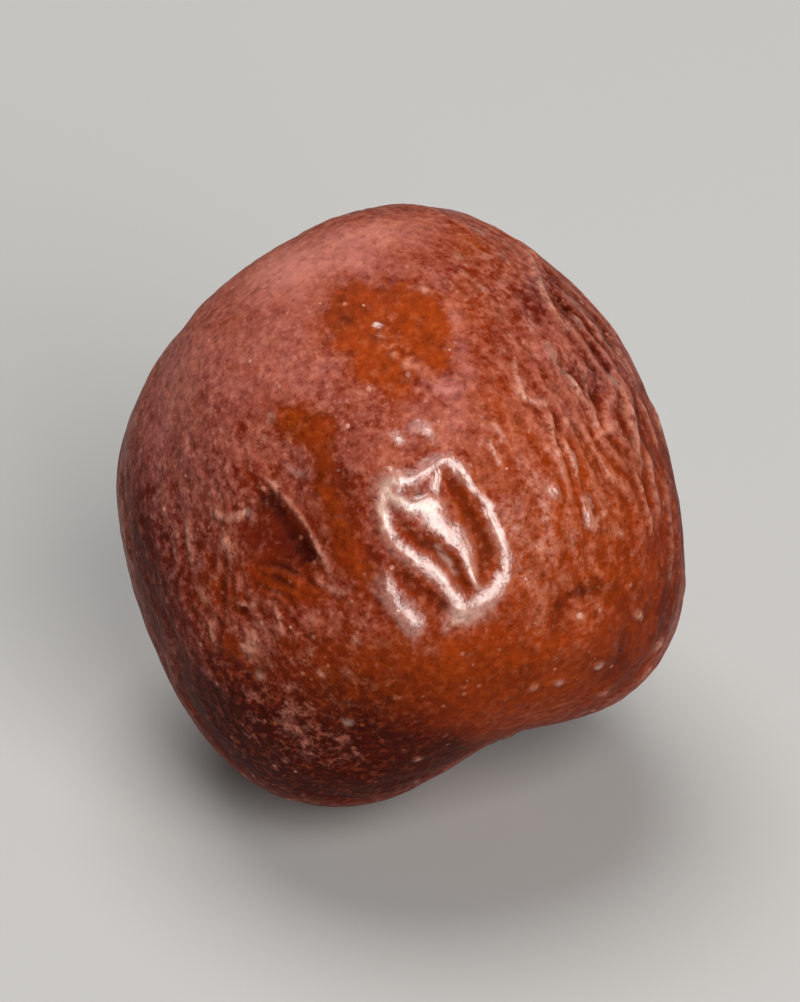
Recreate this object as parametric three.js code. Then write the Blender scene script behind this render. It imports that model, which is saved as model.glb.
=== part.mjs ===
// One dried jujube, lying on the small flat it has settled onto.
// Millimetres, +Z up. The origin is at the surface it rests on, under the middle
// of the fruit's outline from above.
//
// The skin is one closed surface: a radius is worked out for every direction
// from a point in the middle of the fruit, and a sphere's vertices are moved
// out to it. The fruit's own axis, from the stylar end to the stem end, leans
// back and to the side, as a round fruit comes to rest.
import * as THREE from 'three';
import { mergeVertices } from 'three/addons/utils/BufferGeometryUtils.js';

// ---- driving dimensions (mm, degrees) --------------------------------------
const MEAN_R = 12.88;            // mean radius of the fruit
const LONG_TERM = 0.18;          // how much longer than wide it is, half the difference
const SQUARE_TERM = -0.42;       // flattens the sides and both ends into a barrel
const LEAN_ELEV = 33;            // the front of the fruit faces -Y and up by this angle
const AXIS_ANGLE = 115;          // stem end in the front plane, from +X
const AXIS_BACK = -0.27;         // stem end leans away from the front by this much

// The outline seen square to the front: cosine and sine terms, 1 to 6 lobes.
const OUTLINE = [
  [-0.146, 0.072], [-0.143, 0.138], [0.325, -0.305],
  [0.062, -0.553], [-0.262, 0.006], [-0.089, 0.073],
];

const STEM_BOWL_R = 4.3;         // broad hollow round the stem scar (Gaussian radius)
const STEM_BOWL_DEPTH = 1.35;
const SCAR_R = 2.45;             // thin raised ring left by the stalk
const SCAR_WIDTH = 0.34;
const SCAR_HEIGHT = 0.24;
const SCAR_PIT_R = 1.45;         // pit inside the ring
const SCAR_PIT_DEPTH = 0.85;
const STUB_R = 0.55;             // what is left of the stalk
const STUB_HEIGHT = 0.55;

const TIP_DIR = [0.42, -0.90, -0.10];   // stylar end: right, up and front of the middle
const TIP_BOWL_R = 3.3;          // shallow hollow at the stylar end
const TIP_BOWL_DEPTH = 0.55;
const TIP_POINT_R = 0.5;         // the dry stylar point
const TIP_POINT_HEIGHT = 0.22;

const FLAT_CUT = 0.62;           // how far the flat is pressed into the fruit
const FLAT_BLEND = 0.55;         // height over which the skin rounds into it

const RINGS = 50;                // rows from stem end to stylar end
const SEGMENTS = 74;             // meridians

// A flattened side, facing this way (right, up and toward the front), at this
// distance from the middle, blended over this much.
const FACET = { dir: [0.25, 0.03, 0.967], dist: 12.45, blend: 0.35 };

// Hollows and swellings: [right, up, front] of the middle, depth, half length,
// half width, and the long side's turn from the meridian, in degrees.
const DENTS = [
  [[-0.01, 0.62, 0.78], 0.30, 2.3, 1.7, 10],      // top hollow
  [[-0.36, -0.08, 0.92], 0.52, 3.0, 1.45, -8],    // left furrow
  [[-0.21, 0.24, 0.94], 0.16, 1.4, 0.9, 0],       // above the furrow
  [[-0.24, -0.04, 0.96], -0.18, 3.0, 0.7, -10],   // ridge beside the furrow
  [[0.56, -0.31, 0.76], 0.22, 1.5, 1.1, -40],     // right dimple
  [[0.66, 0.28, 0.70], 0.20, 4.0, 1.0, 2],        // right furrow
  [[-0.45, -0.62, 0.62], 0.20, 2.6, 2.0, 20],     // low on the left
  [[0.05, -0.62, 0.78], -0.14, 3.5, 2.6, 80],     // low swelling
  [[-0.86, 0.18, 0.40], 0.26, 4.6, 1.6, 4],
  [[0.93, 0.05, -0.30], 0.45, 5.0, 1.7, 6],
  [[0.62, 0.30, -0.72], 0.36, 4.4, 1.5, -6],
  [[0.10, -0.10, -0.99], 0.50, 5.2, 1.8, 4],
  [[-0.42, 0.05, -0.90], 0.30, 4.2, 1.4, -10],
  [[-0.80, -0.20, -0.56], 0.48, 4.8, 1.7, 8],
  [[0.60, -0.50, -0.62], 0.28, 3.0, 1.7, 30],
  [[-0.58, -0.62, -0.50], 0.26, 2.8, 1.6, 20],
  [[0.13, -0.80, -0.59], -0.26, 2.8, 2.8, 0],     // the side it settled on
  [[0.45, 0.70, -0.50], 0.26, 3.2, 1.5, -14],
  [[-0.93, -0.30, 0.12], 0.20, 3.4, 1.5, 12],
];

// Shallow lobes along the meridians: lobes, size, start, sway, sway turns.
const LOBES = [
  [3, 0.10, 0.6, 0.5, 1.0], [5, 0.11, 2.1, 0.7, 1.4],
  [8, 0.085, 4.4, 0.9, 1.7], [13, 0.07, 1.2, 1.3, 2.1],
];

// ---- directions -------------------------------------------------------------
const RAD = Math.PI / 180;
const RIGHT = new THREE.Vector3(1, 0, 0);
const UP = new THREE.Vector3(0, Math.sin(LEAN_ELEV * RAD), Math.cos(LEAN_ELEV * RAD));
const FRONT = new THREE.Vector3(0, -Math.cos(LEAN_ELEV * RAD), Math.sin(LEAN_ELEV * RAD));

const fromFront = ([x, y, z]) => new THREE.Vector3()
  .addScaledVector(RIGHT, x).addScaledVector(UP, y).addScaledVector(FRONT, z).normalize();

const AXIS = fromFront([Math.cos(AXIS_ANGLE * RAD), Math.sin(AXIS_ANGLE * RAD), AXIS_BACK]);
const SIDE = new THREE.Vector3().crossVectors(FRONT, AXIS).normalize();   // meridian 0
const SIDE2 = new THREE.Vector3().crossVectors(AXIS, SIDE).normalize();

const smooth = (a, b, x) => {
  const t = Math.min(1, Math.max(0, (x - a) / (b - a)));
  return t * t * (3 - 2 * t);
};
const softMin = (a, b, k) => {
  const h = Math.max(k - Math.abs(a - b), 0) / k;
  return Math.min(a, b) - h * h * k * 0.25;
};

const dents = DENTS.map(([dir, depth, along, across, turn]) => {
  const c = fromFront(dir);
  const m = AXIS.clone().addScaledVector(c, -AXIS.dot(c)).normalize();     // up the meridian
  const n = new THREE.Vector3().crossVectors(c, m).normalize();
  const co = Math.cos(turn * RAD), si = Math.sin(turn * RAD);
  return {
    c, depth, along, across,
    u: m.clone().multiplyScalar(co).addScaledVector(n, si),
    v: n.clone().multiplyScalar(co).addScaledVector(m, -si),
  };
});
const facetDir = fromFront(FACET.dir);
const tipDir = fromFront(TIP_DIR);

// ---- the fruit's radius in direction d ---------------------------------------
function radius(d) {
  const x = d.dot(RIGHT), y = d.dot(UP);
  const s = Math.hypot(x, y), a = Math.atan2(y, x);
  const cosAxis = THREE.MathUtils.clamp(d.dot(AXIS), -1, 1);
  const phi = Math.acos(cosAxis);                                          // 0 at the stem end
  const al = AXIS_ANGLE * RAD;

  // barrel of revolution, then the outline's own terms, faded toward the front and back
  let r = MEAN_R + LONG_TERM * Math.cos(2 * phi) + SQUARE_TERM * Math.cos(4 * phi);
  OUTLINE.forEach(([c, n], i) => {
    const k = i + 1;
    let term = c * Math.cos(k * a) + n * Math.sin(k * a);
    if (k === 2) term -= LONG_TERM * Math.cos(2 * (a - al));
    if (k === 4) term -= SQUARE_TERM * Math.cos(4 * (a - al));
    r += term * s ** k;
  });

  // flattened front
  const facing = d.dot(facetDir);
  if (facing > 0.2) r = softMin(r, FACET.dist / facing, FACET.blend);

  // lobes, gone at both ends
  const lam = Math.atan2(d.dot(SIDE2), d.dot(SIDE));
  const belt = Math.sin(phi) ** 2;
  for (const [n, size, start, sway, turns] of LOBES) {
    r += size * belt * Math.sin(n * lam + start + sway * Math.cos(turns * phi));
  }

  // hollows and swellings
  for (const t of dents) {
    const f = d.dot(t.c);
    if (f <= 0) continue;
    const u = MEAN_R * d.dot(t.u) / t.along, v = MEAN_R * d.dot(t.v) / t.across;
    r -= t.depth * Math.exp(-0.5 * (u * u + v * v)) * smooth(0, 0.3, f);
  }

  // stem end: bowl, ring, pit and stub, by distance from the axis
  if (cosAxis > 0) {
    const q = MEAN_R * Math.sin(phi);
    r -= STEM_BOWL_DEPTH * Math.exp(-0.5 * (q / STEM_BOWL_R * 1.55) ** 2);
    r += SCAR_HEIGHT * Math.exp(-0.5 * ((q - SCAR_R) / SCAR_WIDTH) ** 2);
    r -= SCAR_PIT_DEPTH * Math.exp(-((q / SCAR_PIT_R) ** 4) * 0.7);
    r += STUB_HEIGHT * Math.exp(-((q / STUB_R) ** 4) * 0.7);
  }
  // stylar end: a shallow hollow with the dry point in it
  const tip = d.dot(tipDir);
  if (tip > 0) {
    const q = MEAN_R * Math.sqrt(Math.max(0, 1 - tip * tip));
    r -= TIP_BOWL_DEPTH * Math.exp(-0.5 * (q / TIP_BOWL_R * 1.4) ** 2);
    r += TIP_POINT_HEIGHT * Math.exp(-0.5 * (q / TIP_POINT_R) ** 2);
  }
  return r;
}

// Pulls the rows together toward the stem end, where the ring and pit are small.
function rowAngle(t) {
  const near = 0.30, pull = 0.62;            // share of rows and how much closer
  const w = t - pull * near * Math.exp(-t / near) * (1 - Math.exp(-t / 0.02)) * t / near;
  return w * Math.PI;
}

function skinGeometry() {
  const geometry = new THREE.SphereGeometry(1, SEGMENTS, RINGS);
  geometry.deleteAttribute('uv');
  geometry.deleteAttribute('normal');
  const merged = mergeVertices(geometry, 1e-5);
  const p = merged.attributes.position;
  const d = new THREE.Vector3();
  const points = [];
  let lowest = Infinity;
  for (let i = 0; i < p.count; i++) {
    // the sphere's own pole (+Y) becomes the stem end
    const y = THREE.MathUtils.clamp(p.getY(i), -1, 1);
    const phi = rowAngle(Math.acos(y) / Math.PI);
    const lam = Math.atan2(p.getX(i), p.getZ(i));
    d.copy(AXIS).multiplyScalar(Math.cos(phi))
      .addScaledVector(SIDE, Math.sin(phi) * Math.cos(lam))
      .addScaledVector(SIDE2, Math.sin(phi) * Math.sin(lam)).normalize();
    const q = d.clone().multiplyScalar(radius(d));
    points.push(q);
    lowest = Math.min(lowest, q.z);
  }
  // set it down: the lowest skin is pressed flat, and rounds smoothly into the
  // flat, and the middle of its outline from above comes over the origin
  const floor = lowest + FLAT_CUT;
  const box = new THREE.Box3().setFromPoints(points);
  const midX = (box.min.x + box.max.x) / 2, midY = (box.min.y + box.max.y) / 2;
  points.forEach((q, i) => {
    const h = q.z - floor;
    let z = h;
    if (h < 0) z = 0;
    else if (h < FLAT_BLEND) z = h * h * (2 * FLAT_BLEND - h) / FLAT_BLEND ** 2;
    p.setXYZ(i, q.x - midX, q.y - midY, z);
  });
  merged.computeVertexNormals();
  return merged;
}

const skin = new THREE.MeshStandardMaterial({ color: 0x8c3a20, roughness: 0.42, metalness: 0 });
const jujube = new THREE.Mesh(skinGeometry(), skin);
jujube.name = 'jujube';

const part = new THREE.Group();
part.name = 'jujube_part';
part.add(jujube);
export default part;
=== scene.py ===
"""One dried jujube: its skin, wrinkles, bloom and colour, on a plain pale floor.

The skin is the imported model's own shape, worked out again at a finer step, with
the wrinkles and ridges added to it as real relief. Lengths inside the shape code
are millimetres; the mesh is written in metres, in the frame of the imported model.
"""
import math

import bpy
import numpy as np
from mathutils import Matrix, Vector


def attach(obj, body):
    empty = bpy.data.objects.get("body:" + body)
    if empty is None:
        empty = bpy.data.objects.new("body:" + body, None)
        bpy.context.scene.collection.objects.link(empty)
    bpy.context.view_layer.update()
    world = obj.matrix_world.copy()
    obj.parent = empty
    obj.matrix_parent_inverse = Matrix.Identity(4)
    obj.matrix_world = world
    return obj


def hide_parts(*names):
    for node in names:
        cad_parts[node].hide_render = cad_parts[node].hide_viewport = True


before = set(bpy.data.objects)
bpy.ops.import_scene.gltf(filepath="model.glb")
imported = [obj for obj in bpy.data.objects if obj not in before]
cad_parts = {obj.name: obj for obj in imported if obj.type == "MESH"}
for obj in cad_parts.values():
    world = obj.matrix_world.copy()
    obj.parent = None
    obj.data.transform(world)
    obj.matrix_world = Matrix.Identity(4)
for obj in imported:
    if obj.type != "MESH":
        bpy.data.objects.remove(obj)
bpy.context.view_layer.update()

# ---------------------------------------------------------------------------
# The fruit's shape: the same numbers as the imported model
# ---------------------------------------------------------------------------
MEAN_R = 12.88
LONG_TERM = 0.18
SQUARE_TERM = -0.42
LEAN_ELEV = 33.0
AXIS_ANGLE = 115.0
AXIS_BACK = -0.27
OUTLINE = [(-0.146, 0.072), (-0.143, 0.138), (0.325, -0.305), (0.062, -0.553), (-0.262, 0.006), (-0.089, 0.073)]
STEM_BOWL_R, STEM_BOWL_DEPTH = 4.3, 1.35
SCAR_R, SCAR_WIDTH, SCAR_HEIGHT = 2.45, 0.34, 0.24
SCAR_PIT_R, SCAR_PIT_DEPTH = 1.45, 0.85
STUB_R, STUB_HEIGHT = 0.55, 0.55
TIP_DIR = (0.42, -0.90, -0.10)
TIP_BOWL_R, TIP_BOWL_DEPTH = 3.3, 0.55
TIP_POINT_R, TIP_POINT_HEIGHT = 0.5, 0.22
FLAT_BLEND = 0.55
FLOOR_Z = -12.70903          # the flat, below the middle of the fruit
MID_X, MID_Y = -0.07118, 0.02177
FACET_DIR, FACET_DIST, FACET_BLEND = (0.25, 0.03, 0.967), 12.45, 0.35
DENTS = [
    ((-0.01, 0.62, 0.78), 0.30, 2.3, 1.7, 10),
    ((-0.36, -0.08, 0.92), 0.52, 3.0, 1.45, -8),
    ((-0.21, 0.24, 0.94), 0.16, 1.4, 0.9, 0),
    ((-0.24, -0.04, 0.96), -0.18, 3.0, 0.7, -10),
    ((0.56, -0.31, 0.76), 0.22, 1.5, 1.1, -40),
    ((0.66, 0.28, 0.70), 0.20, 4.0, 1.0, 2),
    ((-0.45, -0.62, 0.62), 0.20, 2.6, 2.0, 20),
    ((0.05, -0.62, 0.78), -0.14, 3.5, 2.6, 80),
    ((-0.86, 0.18, 0.40), 0.26, 4.6, 1.6, 4),
    ((0.93, 0.05, -0.30), 0.45, 5.0, 1.7, 6),
    ((0.62, 0.30, -0.72), 0.36, 4.4, 1.5, -6),
    ((0.10, -0.10, -0.99), 0.50, 5.2, 1.8, 4),
    ((-0.42, 0.05, -0.90), 0.30, 4.2, 1.4, -10),
    ((-0.80, -0.20, -0.56), 0.48, 4.8, 1.7, 8),
    ((0.60, -0.50, -0.62), 0.28, 3.0, 1.7, 30),
    ((-0.58, -0.62, -0.50), 0.26, 2.8, 1.6, 20),
    ((0.13, -0.80, -0.59), -0.26, 2.8, 2.8, 0),
    ((0.45, 0.70, -0.50), 0.26, 3.2, 1.5, -14),
    ((-0.93, -0.30, 0.12), 0.20, 3.4, 1.5, 12),
]
LOBES = [(3, 0.10, 0.6, 0.5, 1.0), (5, 0.11, 2.1, 0.7, 1.4), (8, 0.085, 4.4, 0.9, 1.7), (13, 0.07, 1.2, 1.3, 2.1)]

RAD = math.pi / 180
RIGHT = np.array([1.0, 0.0, 0.0])
UP = np.array([0.0, math.sin(LEAN_ELEV * RAD), math.cos(LEAN_ELEV * RAD)])
FRONT = np.array([0.0, -math.cos(LEAN_ELEV * RAD), math.sin(LEAN_ELEV * RAD)])


def unit(v):
    v = np.asarray(v, float)
    return v / np.linalg.norm(v, axis=-1, keepdims=True)


def from_front(v):
    return unit(RIGHT * v[0] + UP * v[1] + FRONT * v[2])


AXIS = from_front((math.cos(AXIS_ANGLE * RAD), math.sin(AXIS_ANGLE * RAD), AXIS_BACK))
SIDE = unit(np.cross(FRONT, AXIS))
SIDE2 = unit(np.cross(AXIS, SIDE))
TIP = from_front(TIP_DIR)


def smooth(a, b, x):
    """0 at a, 1 at b, whichever of them is the larger."""
    t = np.clip((x - a) / (b - a), 0, 1)
    return t * t * (3 - 2 * t)


def soft_min(a, b, k):
    h = np.maximum(k - np.abs(a - b), 0) / k
    return np.minimum(a, b) - h * h * k * 0.25


def dent_frame(d, turn):
    c = from_front(d)
    m = unit(AXIS - AXIS.dot(c) * c)
    n = unit(np.cross(c, m))
    co, si = math.cos(turn * RAD), math.sin(turn * RAD)
    return c, m * co + n * si, n * co - m * si


def polar(D):
    """Angle from the stem end, longitude, and distance from the axis in mm."""
    cos_axis = np.clip(D @ AXIS, -1, 1)
    phi = np.arccos(cos_axis)
    return phi, np.arctan2(D @ SIDE2, D @ SIDE), MEAN_R * np.sin(phi), cos_axis


def bent(D):
    """D turned so that the stylar end, which isn't quite opposite the stem, comes onto the axis. The chart of wrinkles is laid on this."""
    axis = unit(np.cross(TIP, -AXIS))
    full = math.acos(float(np.clip(TIP @ -AXIS, -1, 1)))
    w = full * smooth(0.25, -0.9, D @ AXIS)
    co, si = np.cos(w)[:, None], np.sin(w)[:, None]
    return unit(D * co + np.cross(axis, D) * si + axis * (D @ axis)[:, None] * (1 - co))


def base_radius(D):
    x, y = D @ RIGHT, D @ UP
    s, a = np.hypot(x, y), np.arctan2(y, x)
    phi, lam, q, cos_axis = polar(D)
    al = AXIS_ANGLE * RAD
    r = MEAN_R + LONG_TERM * np.cos(2 * phi) + SQUARE_TERM * np.cos(4 * phi)
    for i, (c, n) in enumerate(OUTLINE):
        k = i + 1
        term = c * np.cos(k * a) + n * np.sin(k * a)
        if k == 2:
            term = term - LONG_TERM * np.cos(2 * (a - al))
        if k == 4:
            term = term - SQUARE_TERM * np.cos(4 * (a - al))
        r = r + term * s**k
    facing = D @ from_front(FACET_DIR)
    near = facing > 0.2
    r[near] = soft_min(r[near], FACET_DIST / facing[near], FACET_BLEND)
    belt = np.sin(phi) ** 2
    for n, size, start, sway, turns in LOBES:
        r = r + size * belt * np.sin(n * lam + start + sway * np.cos(turns * phi))
    for d, depth, along, across, turn in DENTS:
        c, du, dv = dent_frame(d, turn)
        f = D @ c
        u, v = MEAN_R * (D @ du) / along, MEAN_R * (D @ dv) / across
        r = r - np.where(f > 0, depth * np.exp(-0.5 * (u * u + v * v)) * smooth(0, 0.3, f), 0)
    stem = (
        -STEM_BOWL_DEPTH * np.exp(-0.5 * (q / STEM_BOWL_R * 1.55) ** 2)
        + SCAR_HEIGHT * np.exp(-0.5 * ((q - SCAR_R) / SCAR_WIDTH) ** 2)
        - SCAR_PIT_DEPTH * np.exp(-((q / SCAR_PIT_R) ** 4) * 0.7)
        + STUB_HEIGHT * np.exp(-((q / STUB_R) ** 4) * 0.7)
    )
    at_tip = D @ TIP
    qt = MEAN_R * np.sqrt(np.clip(1 - at_tip**2, 0, 1))
    tip = -TIP_BOWL_DEPTH * np.exp(-0.5 * (qt / TIP_BOWL_R * 1.4) ** 2) + TIP_POINT_HEIGHT * np.exp(
        -0.5 * (qt / TIP_POINT_R) ** 2
    )
    return r + np.where(cos_axis > 0, stem, 0) + np.where(at_tip > 0, tip, 0)


# ---------------------------------------------------------------------------
# Noise and wrinkle fields
# ---------------------------------------------------------------------------
def perlin(P, seed):
    """Gradient noise in about -1..1 for points P (n, 3)."""
    rng = np.random.default_rng(seed)
    perm = rng.permutation(256)
    grad = unit(rng.normal(size=(256, 3)))
    i = np.floor(P).astype(np.int64)
    f = P - i
    w = f * f * f * (f * (f * 6 - 15) + 10)
    out = np.zeros(len(P))
    for cx in (0, 1):
        for cy in (0, 1):
            for cz in (0, 1):
                h = perm[(perm[(perm[(i[:, 0] + cx) & 255] + i[:, 1] + cy) & 255] + i[:, 2] + cz) & 255]
                g = grad[h]
                dot = g[:, 0] * (f[:, 0] - cx) + g[:, 1] * (f[:, 1] - cy) + g[:, 2] * (f[:, 2] - cz)
                wt = (
                    (w[:, 0] if cx else 1 - w[:, 0])
                    * (w[:, 1] if cy else 1 - w[:, 1])
                    * (w[:, 2] if cz else 1 - w[:, 2])
                )
                out += dot * wt
    return out * 1.6


def fbm(P, seed, octaves=3, gain=0.5):
    total, amp, norm = np.zeros(len(P)), 1.0, 0.0
    for o in range(octaves):
        total += amp * perlin(P * 2.03**o + 17.3 * o, seed + o)
        norm += amp
        amp *= gain
    return total / norm


CHART_H, CHART_W = 256, 512


def buckled(seed, wave, stretch, quad, across=0.0, steps=200, eps=0.35):
    """A buckled-sheet pattern over longitude and polar angle, wave mm across and
    stretch times as long. quad under 0 leaves cells sunk between raised ridges."""
    rng = np.random.default_rng(seed)
    dx, dy = 2 * math.pi * MEAN_R / CHART_W, math.pi * MEAN_R / CHART_H
    kx = 2 * math.pi * np.fft.rfftfreq(CHART_W, dx)
    ky = 2 * math.pi * np.fft.fftfreq(CHART_H, dy)
    k0 = 2 * math.pi / wave
    k2 = kx[None, :] ** 2 + (stretch * ky[:, None]) ** 2
    sigma = eps - (k2 / k0**2 - 1) ** 2 - across * (stretch * ky[:, None] / k0) ** 2
    sigma = np.maximum(sigma, -40)
    u = rng.normal(size=(CHART_H, CHART_W)) * 0.1
    uh = np.fft.rfft2(u)
    dt = 0.4
    for _ in range(steps):
        uh = (uh + dt * np.fft.rfft2(quad * u * u - u**3)) / (1 - dt * sigma)
        u = np.fft.irfft2(uh, s=(CHART_H, CHART_W))
    # finer by zero padding
    up = 4
    big = np.zeros((CHART_H * up, CHART_W * up // 2 + 1), complex)
    half = CHART_H // 2
    big[:half, : uh.shape[1]] = uh[:half]
    big[-half:, : uh.shape[1]] = uh[-half:]
    fine = np.fft.irfft2(big, s=(CHART_H * up, CHART_W * up)) * up * up
    return fine / np.abs(fine).max()


def sample(field, phi, lam):
    """Bilinear look-up of a chart field. It wraps round the fruit."""
    H, W = field.shape
    y = np.mod(phi / math.pi, 1) * H
    x = np.mod(lam / (2 * math.pi), 1) * W
    y0, x0 = np.floor(y).astype(int), np.floor(x).astype(int)
    fy, fx = y - y0, x - x0
    y0, x0 = y0 % H, x0 % W
    y1, x1 = (y0 + 1) % H, (x0 + 1) % W
    return (
        field[y0, x0] * (1 - fy) * (1 - fx)
        + field[y0, x1] * (1 - fy) * fx
        + field[y1, x0] * fy * (1 - fx)
        + field[y1, x1] * fy * fx
    )


# Ridges and creases on the side that faces front. Points are millimetres right
# and up of the middle, seen square to the front; height; half width.
def fp(*pts):
    """Front-plane points, given on a drawing of 47 units to the millimetre with its middle at (766, 784)."""
    return [((x - 766) / 47.04, (784 - y) / 47.04) for x, y in pts]


def knot(*pts):
    """The same, on an enlarged drawing of the glossy knot."""
    return fp(*[(666.4 + 0.3751 * x, 588 + 0.3751 * y) for x, y in pts])


def fr(*pts):
    """The same, on an enlarged drawing of the right side."""
    return fp(*[(980 + 0.5003 * x, 235.2 + 0.5003 * y) for x, y in pts])


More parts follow.
